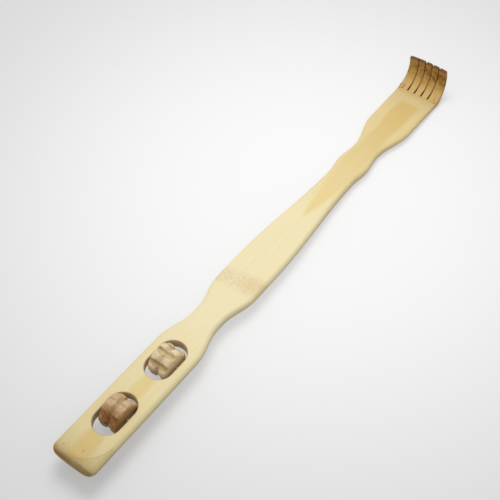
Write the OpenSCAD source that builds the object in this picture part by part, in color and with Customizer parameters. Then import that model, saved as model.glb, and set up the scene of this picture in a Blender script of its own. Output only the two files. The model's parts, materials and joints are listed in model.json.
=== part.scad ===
// Bamboo back scratcher: one bent strip with two lobed massage rollers on cross pins.
// Millimetres. The piece lies as it rests on a table, fingers up: +X runs from the butt
// to the fingers, +Z is up, and the origin is under the middle of the whole object.

/* [Blade outline] */
// Width of the handle
handle_w = 37.2; // [34:0.2:42]
// Length of the handle's straight sides, from the butt
handle_l = 111.6; // [105:0.2:140]
// Radius of the butt's two corners, seen from above
butt_r = 6; // [3:0.5:10]
// Width of the waist
waist_w = 23.8; // [16:0.2:30]
// Length from the handle's straight sides to the waist
waist_run = 34; // [20:1:60]
// Length of the waist's straight sides
waist_l = 5; // [1:1:30]
// Width of the belly, the wide stretch past the waist
belly_w = 36.6; // [26:0.2:42]
// Length from the waist to the belly
belly_run = 32; // [20:1:60]
// Length of the belly's straight sides
belly_l = 27; // [5:1:60]
// Width of the neck, where the long taper ends
neck_w = 23.6; // [16:0.2:30]
// Length of the long taper from the belly to the neck
taper_run = 116; // [60:1:180]
// Width of the collar, the small swelling past the neck
collar_w = 27.4; // [22:0.2:36]
// Length from the neck to the collar
collar_run = 18; // [10:1:30]
// Width of the throat, the narrow place past the collar
throat_w = 23.4; // [16:0.2:30]
// Length from the collar to the throat
throat_run = 21; // [10:1:30]
// Width of the palm
palm_w = 39.2; // [30:0.2:44]
// Length from the throat to the palm
palm_run = 38; // [20:1:50]
// Length of the palm, up to the bend
palm_l = 44; // [30:1:80]
// Width across the finger tips
tip_w = 36.8; // [30:0.2:46]

/* [Blade thickness] */
// Thickness of the handle and the shaft
handle_t = 8.5; // [7:0.1:12]
// Thickness of the throat
throat_t = 7.6; // [5:0.1:10]
// Thickness where the bend starts
palm_t = 5.2; // [3:0.1:8]
// Thickness of the finger tips
tip_t = 3; // [2:0.1:5]
// Radius of the long edges
edge_r = 3; // [0.5:0.1:4]
// Radius of the edges round the butt's end face
butt_edge_r = 2; // [0.5:0.1:2.5]
// Radius of the edges at the finger tips
tip_edge_r = 0.9; // [0.3:0.1:1]

/* [Hand] */
// Radius of the bend, on its inner face
bend_r = 18.4; // [12:0.2:30]
// Angle that the fingers turn through
bend_angle = 104; // [60:1:120]
// Radius of the two outer corners of the finger tips, seen from the front
tip_r = 1; // [0.5:0.1:4]
// How far the middle finger tips reach past the outer ones
tip_crown = 1.1; // [0:0.1:4]
// How far the finger tips lean over to the left
tip_lean = 2.2; // [-3:0.1:3]
// Number of fingers
fingers = 5; // [3:1:6]
// Width of the saw kerfs between the fingers
kerf_w = 0.8; // [0.4:0.1:2]
// Distance between neighbouring kerfs
kerf_pitch = 6.7; // [5:0.1:7]
// How far the kerfs lean over to the left at the finger tips
kerf_lean = 1.2; // [-3:0.1:3]
// Distance from the start of the bend to the kerfs' closed ends
kerf_start = 2; // [0:0.5:10]
// How far each finger's tip is rounded off on either side of a kerf
kerf_flare = 0.5; // [0:0.1:1]
// Length of that rounding, from the tip
flare_l = 3; // [1:0.5:6]

/* [Rollers] */
// Diameter of the rollers over their lobes
roller_d = 25.4; // [22:0.2:30]
// Length of the rollers
roller_l = 17.4; // [14:0.2:24]
// Radius of the rounding at the rollers' ends
shoulder_r = 3.4; // [1:0.1:6]
// Width of the groove between a roller's two rows, at its mouth
groove_w = 6.4; // [2:0.2:9]
// Depth of the groove between a roller's two rows
groove_d = 2.2; // [1:0.1:4]
// Number of flutes along each roller
flutes = 7; // [4:1:10]
// Radius of the flutes' round bottom
flute_r = 3.2; // [1.5:0.1:5]
// Depth of the front roller's flutes
front_flute_d = 2.4; // [0.8:0.1:3]
// Depth of the rear roller's flutes
rear_flute_d = 1.2; // [0.8:0.1:3]
// Angle of the front roller, from one lobe straight down
front_turn = 0; // [-25:1:25]
// Angle of the rear roller, from one lobe straight down
rear_turn = 5; // [-25:1:25]

/* [Windows and pins] */
// Distance from the butt to the rear pin
rear_pin_x = 48.2; // [42:0.2:54]
// Distance between the two pins
pin_pitch = 52.4; // [50:0.2:60]
// Least gap ahead of the rear roller, to its window's end
rear_front_gap = 0.5; // [0.4:0.1:4]
// Least gap behind the rear roller, to its window's end
rear_back_gap = 6.3; // [0.4:0.1:8]
// Least gap ahead of the front roller, to its window's end
front_front_gap = 2.3; // [0.4:0.1:6]
// Least gap behind the front roller, to its window's end
front_back_gap = 4.1; // [0.4:0.1:6]
// Gap at each end of a roller, to the window's side
side_gap = 2.2; // [0.5:0.1:4]
// Chamfer round the windows' rims
rim_chamfer = 0.8; // [0.2:0.1:1.5]
// Diameter of the pins
pin_d = 3; // [2:0.1:3.5]
// Radial clearance of the rollers on their pins
pin_clear = 0.08; // [0.03:0.01:0.1]
// Wall left closed past the pins' inner ends
pin_cover = 3.6; // [2:0.1:5]
// Chamfer on the pins' ends
pin_chamfer = 0.4; // [0.1:0.1:0.6]

/* [Hidden] */
$fn = 96;
cut = 1;
step_len = 4;
bend_steps = 20;
corner_steps = 3;
round_step = 15;
tip_step = 30;
face_steps = 6;
lip_steps = 6;
edge_flat = 0.1;

// Stations along the blade
x_waist = handle_l + waist_run;
x_waist_end = x_waist + waist_l;
x_belly = x_waist_end + belly_run;
x_taper = x_belly + belly_l;
x_neck = x_taper + taper_run;
x_collar = x_neck + collar_run;
x_throat = x_collar + throat_run;
x_palm = x_throat + palm_run;
x_bend = x_palm + palm_l;
finger_l = bend_r * bend_angle * PI / 180;
x_tip = x_bend + finger_l;

// Rollers, windows and pins
roller_r = roller_d / 2;
window_r = roller_l / 2 + side_gap;
front_pin_x = rear_pin_x + pin_pitch;
pin_z = -handle_t / 2;
pin_l = handle_w - pin_cover;
flute_pitch = 360 / flutes;

// The front roller stands on a lobe, or on the edge of a flute when that is lower
flute_reach = roller_r - front_flute_d + flute_r;
flute_half = acos((pow(flute_reach, 2) + pow(roller_r, 2) - pow(flute_r, 2)) / (2 * flute_reach * roller_r));
rest_r = roller_r * cos(max(0, abs(front_turn) - flute_pitch / 2 + flute_half));

// Width and thickness at each station, with an eased curve from one to the next
outline = [
    [0, handle_w], [handle_l, handle_w], [x_waist, waist_w], [x_waist_end, waist_w],
    [x_belly, belly_w], [x_taper, belly_w], [x_neck, neck_w], [x_collar, collar_w],
    [x_throat, throat_w], [x_palm, palm_w], [x_bend, palm_w], [x_tip, tip_w]
];
depths = [[0, handle_t], [x_neck, handle_t], [x_throat, throat_t], [x_bend, palm_t], [x_tip, tip_t]];
edges = [[0, edge_r], [x_palm, edge_r], [x_tip, tip_edge_r]];

function ease(t) = (1 - cos(180 * t)) / 2;
function span_of(table, s, i = 0) =
    i >= len(table) - 2 || s <= table[i + 1][0] ? i : span_of(table, s, i + 1);
function share(table, s, i) = (s - table[i][0]) / (table[i + 1][0] - table[i][0]);
function eased(table, s, i) =
    table[i][1] + (table[i + 1][1] - table[i][1]) * ease(share(table, s, i));
function straight(table, s, i) =
    table[i][1] + (table[i + 1][1] - table[i][1]) * share(table, s, i);

// How far a quarter round of radius r pulls a side in, at a distance s from the end
function round_in(r, s) = s >= r ? 0 : r - sqrt(r * r - pow(r - max(0, s), 2));

function half_width(s) =
    eased(outline, s, span_of(outline, s)) / 2 - round_in(butt_r, s) - round_in(tip_r, x_tip - s);
function depth(s) = straight(depths, s, span_of(depths, s));
function edge(s) =
    min(straight(edges, s, span_of(edges, s)), depth(s) / 2 - round_in(butt_edge_r, s) - edge_flat);

// Places of the cross-sections: close together on the butt's corners and the curves
butt_stations = [for (a = [0:round_step:90]) butt_r * (1 - cos(a))];
curve_stations = [
    for (i = [1:len(outline) - 4])
        let (a = outline[i], b = outline[i + 1])
        let (n = a[1] == b[1] ? 1 : ceil((b[0] - a[0]) / step_len))
        for (k = [0:n - 1]) a[0] + (b[0] - a[0]) * k / n
];
palm_steps = ceil(palm_l / step_len);
palm_stations = [for (k = [0:palm_steps - 1]) x_palm + palm_l * k / palm_steps];
round_l = finger_l - tip_r;
finger_stations = [for (k = [0:bend_steps - 1]) x_bend + round_l * k / bend_steps];
tip_stations = [for (a = [0:tip_step:90]) x_tip - tip_r * (1 - sin(a))];
stations = concat(butt_stations, curve_stations, palm_stations, finger_stations, tip_stations);

// One quarter of a section's round edge, about the corner's centre
function corner(y, z, r, start) = [
    for (k = [0:corner_steps])
        let (a = start + 90 * k / corner_steps)
        [y + r * cos(a), z + r * sin(a)]
];
// Points across a flat face, between its two round edges
function across(y, z, way) = [for (k = [1:face_steps - 1]) [way * y * (1 - 2 * k / face_steps), z]];

// Cross-section as [y, depth below the top face], going round once
function section(s) =
    let (pull = round_in(butt_edge_r, s), w = half_width(s), t = depth(s), r = edge(s))
    let (y = w - r, top = -pull - r, bottom = -(t - pull) + r)
    concat(
        corner(y, top, r, 0), across(y, -pull, 1), corner(-y, top, r, 90),
        corner(-y, bottom, r, 180), across(y, -(t - pull), -1), corner(y, bottom, r, 270)
    );

// A point of the flat strip, carried round the bend; the fingers lean, and their ends follow an arc
function along(s) = max(0, s - x_bend) / finger_l;
function crowned(s, y) = s - along(s) * tip_crown * pow(2 * y / tip_w, 2);
function bent(s, y, z) =
    let (a = bend_angle * along(s), x = min(s, x_bend))
    [x + (bend_r - z) * sin(a), y + tip_lean * pow(along(s), 2), bend_r - (bend_r - z) * cos(a)];

rings = [for (s = stations) [for (p = section(s)) bent(crowned(s, p[0]), p[0], p[1])]];
blade_points = [for (ring = rings) each ring];

// Faces of a skin over rings of n points each, closed at both ends
function skin(count, n) = concat(
    [[for (k = [0:n - 1]) k]],
    [
        for (i = [0:count - 2])
            for (k = [0:n - 1])
                let (a = i * n + k, b = i * n + (k + 1) % n)
                each [[a, a + n, b], [b, a + n, b + n]]
    ],
    [[for (k = [n - 1:-1:0]) (count - 1) * n + k]]
);

// The object lies on the front roller and the heel of the hand, which sets its slope
function lean(p) =
    let (dx = p[0] - front_pin_x, dz = p[2] - pin_z)
    atan2(dz, dx) + asin(rest_r / norm([dx, dz]));
lie_angle = min([for (p = blade_points) if (p[0] > x_throat) lean(p)]);
function lain_x(p) = p[0] * cos(lie_angle) + p[2] * sin(lie_angle);
mid_x = (min([for (p = blade_points) lain_x(p)]) + max([for (p = blade_points) lain_x(p)])) / 2;
mid_y = (min([for (p = blade_points) p[1]]) + max([for (p = blade_points) p[1]])) / 2;
floor_z = pin_z * cos(lie_angle) - front_pin_x * sin(lie_angle) - rest_r;

module lain() {
    translate([-mid_x, -mid_y, -floor_z]) rotate([0, lie_angle, 0]) children();
}

// Half of a roller's outline, as [radius, place along its axis]: one row, round at the roller's end
// and towards the groove
shoulder = [
    for (a = [0:round_step:90])
        [roller_r - shoulder_r + shoulder_r * sin(a), roller_l / 2 - shoulder_r + shoulder_r * cos(a)]
];
lip = [
    for (k = [0:lip_steps])
        [roller_r - groove_d * ease(k / lip_steps), groove_w / 2 * (1 - k / lip_steps)]
];
row = concat([[0, roller_l / 2]], shoulder, lip);
row_mirrored = [for (k = [len(row) - 2:-1:0]) [row[k][0], -row[k][1]]];
roller_outline = concat(row, row_mirrored);

module across_blade(d, l) {
    rotate([90, 0, 0]) cylinder(d = d, h = l, center = true);
}

module roller(pin_x, flute_d, turn) {
    lain() translate([pin_x, 0, pin_z]) rotate([0, turn - lie_angle, 0]) difference() {
        rotate([90, 0, 0]) rotate_extrude() polygon(roller_outline);
        across_blade(pin_d + 2 * pin_clear, roller_l + 2 * cut);
        for (k = [0:flutes - 1]) rotate([0, (k + 0.5) * flute_pitch, 0])
            translate([0, 0, -(roller_r - flute_d + flute_r)])
                across_blade(2 * flute_r, roller_l + 2 * cut);
    }
}

// Pressed in from the blade's left edge, flush there and blind in the right edge
module at_pin(pin_x) {
    translate([pin_x, handle_w / 2 - pin_l, pin_z]) rotate([-90, 0, 0]) children();
}

pin_outline = [
    [0, 0], [pin_d / 2 - pin_chamfer, 0], [pin_d / 2, pin_chamfer],
    [pin_d / 2, pin_l - pin_chamfer], [pin_d / 2 - pin_chamfer, pin_l], [0, pin_l]
];

module pin(pin_x) {
    lain() at_pin(pin_x) rotate_extrude() polygon(pin_outline);
}

module pin_hole(pin_x) {
    at_pin(pin_x) cylinder(d = pin_d, h = pin_l + cut);
}

// How far a window's round end has to lie ahead of the pin to just touch the roller
window_reach = max([for (p = roller_outline) p[0] + window_r - sqrt(window_r * window_r - p[1] * p[1])]);

// Oblong hole right through the blade, round at both ends, with chamfered rims
function rimmed(r) = [
    [0, -handle_t - cut], [r + rim_chamfer + cut, -handle_t - cut], [r, -handle_t + rim_chamfer],
    [r, -rim_chamfer], [r + rim_chamfer + cut, cut], [0, cut]
];
module window(pin_x, back_gap, front_gap) {
    back = pin_x - window_reach - back_gap + window_r;
    front = pin_x + window_reach + front_gap - window_r;
    for (x = [back, front]) translate([x, 0, 0]) rotate_extrude() polygon(rimmed(window_r));
    translate([back, 0, 0]) rotate([90, 0, 90]) linear_extrude(front - back) union() {
        polygon(rimmed(window_r));
        mirror([1, 0]) polygon(rimmed(window_r));
    }
}

// Saw kerfs that follow the bend and run out at the finger tips
kerf_section = [[1, -1], [1, 0], [-1, 0], [-1, -1]];
module kerfs() {
    kerf_l = finger_l + cut - kerf_start;
    for (k = [1:fingers - 1]) {
        y = (k - fingers / 2) * kerf_pitch;
        points = [
            for (i = [0:bend_steps])
                let (s = x_bend + kerf_start + kerf_l * i / bend_steps)
                let (w = kerf_w / 2 + kerf_flare * pow(max(0, 1 - (x_tip - s) / flare_l), 2))
                let (lean_off = (kerf_lean - tip_lean) * pow(along(s), 2))
                for (p = kerf_section) bent(s, y + lean_off + p[0] * w, cut + p[1] * (palm_t + 2 * cut))
        ];
        polyhedron(points, skin(bend_steps + 1, len(kerf_section)), convexity = 4);
    }
}

module blade() {
    color("#e8d9a3") lain() difference() {
        polyhedron(blade_points, skin(len(rings), len(rings[0])), convexity = 8);
        window(rear_pin_x, rear_back_gap, rear_front_gap);
        window(front_pin_x, front_back_gap, front_front_gap);
        pin_hole(rear_pin_x);
        pin_hole(front_pin_x);
        kerfs();
    }
}

module rear_roller() {
    color("#a3764b") roller(rear_pin_x, rear_flute_d, rear_turn);
}

module front_roller() {
    color("#c3ab80") roller(front_pin_x, front_flute_d, front_turn);
}

module rear_pin() {
    color("#d8c08a") pin(rear_pin_x);
}

module front_pin() {
    color("#d8c08a") pin(front_pin_x);
}

blade();
rear_roller();
front_roller();
rear_pin();
front_pin();
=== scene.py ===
import json
import math
from types import SimpleNamespace

import bmesh
import bpy
import numpy as np
from mathutils import Matrix, Vector


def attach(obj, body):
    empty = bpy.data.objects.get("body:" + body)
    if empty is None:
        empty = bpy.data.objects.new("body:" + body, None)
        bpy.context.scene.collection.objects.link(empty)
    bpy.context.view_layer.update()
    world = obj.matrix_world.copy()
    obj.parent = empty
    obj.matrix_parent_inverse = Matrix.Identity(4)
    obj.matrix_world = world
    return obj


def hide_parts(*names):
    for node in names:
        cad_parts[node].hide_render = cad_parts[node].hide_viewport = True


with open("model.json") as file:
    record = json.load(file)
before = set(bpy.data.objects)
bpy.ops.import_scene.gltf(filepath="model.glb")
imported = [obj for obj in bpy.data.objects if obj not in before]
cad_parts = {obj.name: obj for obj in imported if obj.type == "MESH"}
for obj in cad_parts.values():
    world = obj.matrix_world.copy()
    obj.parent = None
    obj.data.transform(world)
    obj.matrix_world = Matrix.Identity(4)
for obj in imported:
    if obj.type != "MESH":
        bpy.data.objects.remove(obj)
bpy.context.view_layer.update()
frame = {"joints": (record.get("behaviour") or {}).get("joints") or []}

MM = 0.001

# Blade in millimetres, as in the part's source: places from the butt, widths, depths and roundings
HANDLE_W, HANDLE_L = 37.2, 111.6
BUTT_R, BUTT_EDGE_R = 6.0, 2.0
X_WAIST, X_WAIST_END, WAIST_W = 145.6, 150.6, 23.8
X_BELLY, BELLY_W = 182.6, 36.6
X_TAPER = 209.6
X_NECK, NECK_W = 325.6, 23.6
X_COLLAR, COLLAR_W = 343.6, 27.4
X_THROAT, THROAT_W = 364.6, 23.4
X_PALM, PALM_W = 402.6, 39.2
X_BEND = 446.6
TIP_W = 36.8
HANDLE_T, THROAT_T, PALM_T, TIP_T = 8.5, 7.6, 5.2, 3.0
EDGE_R, TIP_EDGE_R, EDGE_FLAT = 3.0, 0.9, 0.1
BEND_R, BEND_ANGLE = 18.4, math.radians(104)
FINGER_L = BEND_R * BEND_ANGLE
X_TIP = X_BEND + FINGER_L
TIP_R, TIP_CROWN, TIP_LEAN = 1.0, 1.1, 2.2
FINGERS, KERF_W, KERF_PITCH, KERF_START, KERF_LEAN = 5, 0.8, 6.7, 2.0, 1.2

# Rollers, windows and pins, as in the part's source
ROLLER_R, ROLLER_L, SHOULDER_R = 12.7, 17.4, 3.4
GROOVE_W, GROOVE_D = 6.4, 2.2
FLUTES, FRONT_FLUTE_D, REAR_FLUTE_D = 7, 2.4, 1.2
FRONT_TURN, REAR_TURN = math.radians(0), math.radians(5)
REAR_PIN_X, PIN_PITCH = 48.2, 52.4
FRONT_PIN_X = REAR_PIN_X + PIN_PITCH
PIN_Z, PIN_D, PIN_CLEAR, PIN_COVER = -HANDLE_T / 2, 3.0, 0.08, 3.6
SIDE_GAP = 2.2
WINDOW_R = ROLLER_L / 2 + SIDE_GAP
# Distance from a pin to its window's end at which the roller would just touch the end's curve
WINDOW_REACH = 14.89
REAR_BACK_GAP, REAR_FRONT_GAP = 6.3, 0.5
FRONT_BACK_GAP, FRONT_FRONT_GAP = 4.1, 2.3

# Finish that the solids leave out, in millimetres
RIM_R, TIP_ROUND = 0.9, 0.4
SWELL, SWELL_X, SWELL_RUN = 0.4, 452.0, 4.0
FACET_CENTRE, FACET_R, FACET_SLOPE = (26.6, 6.8), 23.6, 0.12
CULM_R = 55.0
GRIP_EDGE_W, X_GRIP, X_GRIP_END = 4.2, 100, 160
KERF_EYE, KERF_CLOSE, EYE_L, EYE_RUN, EYE_ROUND = 1.2, 0.85, 2.5, 6, 0.8
KERF_FLARE, FLARE_L = 0.95, 4.5
LEFT_FLARE = KERF_FLARE / 3
FLUTE_HALF, LOBE_ROUND, WEAR, HUB_R = 4.2, 0.4, 0.3, 4.0
PIN_SEAM = 0.05

# How far the cutters and the pins' rods reach past the surfaces that they meet, in millimetres
RIM_OVER, RIM_TOP, RIM_SLOPE = 4, 3.0, math.radians(5)
KERF_OVER, KERF_TOP, KERF_BOTTOM = 1, 1, -7
PIN_OVER = 2

# How finely the meshes are laid: counts, degrees between stations at the ends, millimetres between others
CORNER_STEPS, FACE_STEPS = 6, 22
BUTT_STEP, TIP_STEP = 6, 10
SHAFT_STEP, FINGER_STEP = 1.5, 0.7
RIM_ANGLES = range(10, 86, 15)
WINDOW_STEPS, KERF_STEPS, ROD_STEPS, FLUTE_STEPS = 48, 60, 48, 32
END_POINTS, SHOULDER_POINTS, LAND_POINTS, GROOVE_POINTS = 8, 15, 8, 13
# Seams closer than this many metres are welded, and holes of up to this many sides are filled
WELD, HOLE_SIDES = 2e-6, 8
# Edges past these angles in degrees stay crisp
BLADE_CRISP, ROLLER_CRISP = 38, 50
# Stands for a distance that no mark reaches
FAR_OFF = 99.0

outline = [
    (0, HANDLE_W), (HANDLE_L, HANDLE_W), (X_WAIST, WAIST_W), (X_WAIST_END, WAIST_W),
    (X_BELLY, BELLY_W), (X_TAPER, BELLY_W), (X_NECK, NECK_W), (X_COLLAR, COLLAR_W),
    (X_THROAT, THROAT_W), (X_PALM, PALM_W), (X_BEND, PALM_W), (X_TIP, TIP_W),
]
depths = [(0, HANDLE_T), (X_NECK, HANDLE_T), (X_THROAT, THROAT_T), (X_BEND, PALM_T), (X_TIP, TIP_T)]
edges = [(0, EDGE_R), (X_PALM, EDGE_R), (X_TIP, TIP_EDGE_R)]
edge_wide = [
    (0, GRIP_EDGE_W), (X_GRIP, GRIP_EDGE_W), (X_GRIP_END, EDGE_R), (X_PALM, EDGE_R), (X_TIP, TIP_EDGE_R),
]


def window_ends(pin_x, back_gap, front_gap):
    """Where a window's two round ends have their centres."""
    return pin_x - WINDOW_REACH - back_gap + WINDOW_R, pin_x + WINDOW_REACH + front_gap - WINDOW_R


WINDOWS = {
    "rear": window_ends(REAR_PIN_X, REAR_BACK_GAP, REAR_FRONT_GAP),
    "front": window_ends(FRONT_PIN_X, FRONT_BACK_GAP, FRONT_FRONT_GAP),
}

# The strip's own frame, read from the two hinges: s along the strip, y to the left, z up from its top face
pins = {j["name"]: Vector(j["pos_m"]) for j in frame["joints"]}
along_dir = (pins["front_roll"] - pins["rear_roll"]).normalized()
left_dir = Vector((0, 1, 0))
up_dir = along_dir.cross(left_dir).normalized()
strip_axes = np.array([along_dir, left_dir, up_dir])
strip_origin = np.array(pins["rear_roll"] - along_dir * REAR_PIN_X * MM - up_dir * PIN_Z * MM)


def to_part(points):
    """Strip coordinates in millimetres to the part's frame in metres."""
    return np.asarray(points, float) * MM @ strip_axes + strip_origin


def to_strip(points):
    """The part's frame in metres to strip coordinates in millimetres."""
    return (np.asarray(points, float) - strip_origin) @ strip_axes.T / MM


def ease(t):
    return (1 - math.cos(math.pi * t)) / 2


def lookup(table, s, curve=None):
    """The value at s in a table of places and values, straight between them unless a curve is given."""
    for (a, va), (b, vb) in zip(table, table[1:]):
        if s <= b or (b, vb) == table[-1]:
            t = (s - a) / (b - a)
            return va + (vb - va) * (curve(t) if curve else t)


def round_in(r, s):
    """How far a rounding of radius r pulls an edge in, at a distance s from its end."""
    return 0.0 if s >= r else r - math.sqrt(r * r - (r - max(0.0, s)) ** 2)


def along(s):
    """Share of the fingers' length that lies before s."""
    return max(0.0, s - X_BEND) / FINGER_L


def half_width(s):
    swell = SWELL * math.exp(-((s - SWELL_X) / SWELL_RUN) ** 2)
    return lookup(outline, s, ease) / 2 - round_in(BUTT_R, s) - round_in(TIP_R, X_TIP - s) + swell


def facet_drop(s, y):
    """How far the sanded-off corner at the butt lies under the top face."""
    ds, dy = s - FACET_CENTRE[0], y - FACET_CENTRE[1]
    if ds > 0 or dy > 0:
        return 0.0
    return FACET_SLOPE * max(0.0, math.hypot(ds, dy) - FACET_R)


def skin_rise(s, y):
    """The underside is the culm's skin: it keeps the culm's curve across, as far as the bend."""
    fade = min(1.0, max(0.0, (X_BEND - s) / (X_BEND - X_PALM)))
    return fade * y * y / (2 * CULM_R)


def bent(s, y, z):
    """A point of the straight strip, once the hand is bent and leans."""
    a = BEND_ANGLE * along(s)
    return (
        min(s, X_BEND) + (BEND_R - z) * math.sin(a),
        y + TIP_LEAN * along(s) ** 2,
        BEND_R - (BEND_R - z) * math.cos(a),
    )


def corner(y, z, ry, rz, start):
    """A quarter of an ellipse about (y, z), as points."""
    out = []
    for k in range(CORNER_STEPS + 1):
        a = start + math.pi / 2 * k / CORNER_STEPS
        out.append((y + ry * math.cos(a), z + rz * math.sin(a)))
    return out


def section(s):
    """The strip's outline across, at s: a rounded oblong with the facet and the culm's curve."""
    pull = round_in(BUTT_EDGE_R, s) + round_in(TIP_ROUND, X_TIP - s)
    w, t = half_width(s), lookup(depths, s)
    rz = min(lookup(edges, s), t / 2 - pull - EDGE_FLAT)
    ry = max(rz, lookup(edge_wide, s))
    y, top, bottom = w - ry, -pull - rz, -(t - pull) + rz
    across = [1 - 2 * k / FACE_STEPS for k in range(1, FACE_STEPS)]
    ring = corner(y, top, ry, rz, 0) + [(y * c, -pull) for c in across]
    ring += corner(-y, top, ry, rz, math.pi / 2) + corner(-y, bottom, ry, rz, math.pi)
    ring += [(-y * c, -(t - pull)) for c in across] + corner(y, bottom, ry, rz, 1.5 * math.pi)
    mid = -t / 2
    shaped = []
    for py, pz in ring:
        share = abs(pz - mid) / -mid
        move = -facet_drop(s, py) if pz > mid else skin_rise(s, py)
        shaped.append((py, pz + share * move))
    return shaped


def spread(a, b, step):
    """Even places from a to before b, no further apart than a step."""
    n = max(1, math.ceil((b - a) / step))
    return [a + (b - a) * k / n for k in range(n)]


def to_mesh(bm, name):
    bmesh.ops.recalc_face_normals(bm, faces=bm.faces)
    mesh = bpy.data.meshes.new(name)
    bm.to_mesh(mesh)
    bm.free()
    return mesh


def skin_mesh(name, rings):
    """A closed mesh over rings of equal length, its ends laid like ladders."""
    n = len(rings[0])
    bm = bmesh.new()
    verts = [[bm.verts.new(p) for p in ring] for ring in rings]
    for a, b in zip(verts, verts[1:]):
        for k in range(n):
            bm.faces.new((a[k], a[(k + 1) % n], b[(k + 1) % n], b[k]))
    for ring in (verts[0], verts[-1]):
        for k in range(n // 2 - 1):
            bm.faces.new((ring[k], ring[k + 1], ring[n - 2 - k], ring[n - 1 - k]))
    return to_mesh(bm, name)


def new_object(name, data):
    obj = bpy.data.objects.new(name, data)
    bpy.context.scene.collection.objects.link(obj)
    return obj


def blade_rings():
    """Sections of the strip from the butt to the tips, bent, in the part's frame."""
    stations = [BUTT_R * (1 - math.cos(math.radians(a))) for a in range(0, 90, BUTT_STEP)]
    stations += spread(BUTT_R, X_BEND, SHAFT_STEP) + spread(X_BEND, X_TIP - TIP_R, FINGER_STEP)
    stations += [X_TIP - TIP_R * (1 - math.sin(math.radians(a))) for a in range(0, 91, TIP_STEP)]
    rings = []
    for s in stations:
        crown = along(s) * TIP_CROWN
        ring = [bent(s - crown * (2 * y / TIP_W) ** 2, y, z) for y, z in section(s)]
        rings.append(to_part(ring))
    return rings


def rim_profile(r):
    """Half of a window's cutter: straight walls with rounded rims at both faces."""
    top = [(r, -RIM_R)]
    for a in RIM_ANGLES:
        t = math.radians(a)
        top.append((r + RIM_R - RIM_R * math.cos(t), -RIM_R + RIM_R * math.sin(t)))
    end_r, end_z = top[-1]
    top += [(end_r + RIM_OVER, end_z + RIM_OVER * math.tan(RIM_SLOPE)), (end_r + RIM_OVER, RIM_TOP)]
    bottom = [(x, -HANDLE_T - z) for x, z in reversed(top)]
    return bottom + top


def window_cutter(name, back, front):
    """An oblong cutter: the profile is carried round a racetrack."""
    profile = rim_profile(WINDOW_R)
    half_turn = [k / WINDOW_STEPS * math.pi for k in range(WINDOW_STEPS + 1)]
    track = [(front, a - math.pi / 2) for a in half_turn] + [(back, a + math.pi / 2) for a in half_turn]
    bm = bmesh.new()
    rows = []
    for x, a in track:
        pts = [(x + r * math.cos(a), r * math.sin(a), z) for r, z in profile]
        rows.append([bm.verts.new(p) for p in to_part(pts)])
    for a, b in zip(rows, rows[1:] + rows[:1]):
        for k in range(len(profile) - 1):
            bm.faces.new((a[k], b[k], b[k + 1], a[k + 1]))
    bm.faces.new([row[0] for row in rows])
    bm.faces.new([row[-1] for row in rows])
    return new_object(name, to_mesh(bm, name))


def kerf_middle(k):
    return (k - FINGERS / 2) * KERF_PITCH


def kerf_cutter(k):
    """A kerf that starts in a small round eye, narrows, and opens again at the tips."""
    first, last = X_BEND + KERF_START, X_TIP + KERF_OVER
    flare = KERF_FLARE if k < FINGERS - 1 else LEFT_FLARE
    rings = []
    for i in range(KERF_STEPS + 1):
        s = first + (last - first) * i / KERF_STEPS
        narrow = KERF_EYE - KERF_CLOSE * ease(min(1.0, max(0.0, (s - first - EYE_L) / EYE_RUN)))
        w = KERF_W / 2 * narrow + flare * max(0.0, 1 - (X_TIP - s) / FLARE_L) ** 2
        w *= min(1.0, 0.5 + 0.5 * (s - first) / EYE_ROUND)
        middle = kerf_middle(k) + (KERF_LEAN - TIP_LEAN) * along(s) ** 2
        sides = ((w, KERF_BOTTOM), (w, KERF_TOP), (-w, KERF_TOP), (-w, KERF_BOTTOM))
        rings.append(to_part([bent(s, middle + y, z) for y, z in sides]))
    return new_object("kerf_cutter", skin_mesh("kerf_cutter", rings))


def pin_rod(name, x, radius):
    """A rod along a pin's axis, from the pin's blind end to outside the left edge."""
    bpy.ops.mesh.primitive_cylinder_add(vertices=ROD_STEPS, radius=radius * MM, depth=1)
    obj = bpy.context.object
    obj.name = name
    inner, outer = -HANDLE_W / 2 + PIN_COVER, HANDLE_W / 2 + PIN_OVER
    ends = to_part([(x, inner, PIN_Z), (x, outer, PIN_Z)])
    length = (outer - inner) * MM
    centre = Vector((ends[0] + ends[1]) / 2)
    across = Matrix.Rotation(math.pi / 2, 4, "X")
    obj.data.transform(Matrix.Translation(centre) @ across @ Matrix.Diagonal((1, 1, length, 1)))
    return obj


def combine(obj, other, operation):
    """Applies a boolean with another object, which is used up."""
    mod = obj.modifiers.new("combine", "BOOLEAN")
    mod.operation = operation
    mod.solver = "EXACT"
    mod.object = other
    bpy.context.view_layer.objects.active = obj
    bpy.ops.object.modifier_apply(modifier=mod.name)
    bpy.data.objects.remove(other)


def close_up(mesh):
    """Welds the seams of the cuts, fills what they left open, and splits their many-sided faces."""
    bm = bmesh.new()
    bm.from_mesh(mesh)
    bmesh.ops.remove_doubles(bm, verts=bm.verts, dist=WELD)
    bmesh.ops.holes_fill(bm, edges=[e for e in bm.edges if e.is_boundary], sides=HOLE_SIDES)
    many_sided = [f for f in bm.faces if len(f.verts) > 4]
    bmesh.ops.triangulate(bm, faces=many_sided, ngon_method="BEAUTY")
    bm.to_mesh(mesh)
    bm.free()


def soften(obj, angle):
    """Smooth shading with crisp edges past an angle, and normals that favour the large faces."""
    obj.data.shade_smooth()
    obj.data.set_sharp_from_angle(angle=math.radians(angle))
    mod = obj.modifiers.new("normals", "WEIGHTED_NORMAL")
    mod.keep_sharp = True


def add_vectors(mesh, name, values):
    layer = mesh.attributes.new(name, "FLOAT_VECTOR", "POINT")
    layer.data.foreach_set("vector", np.asarray(values, np.float32).ravel())


def coordinates(mesh):
    co = np.zeros(len(mesh.vertices) * 3, np.float32)
    mesh.vertices.foreach_get("co", co)
    return co.reshape(-1, 3).astype(float)


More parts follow.
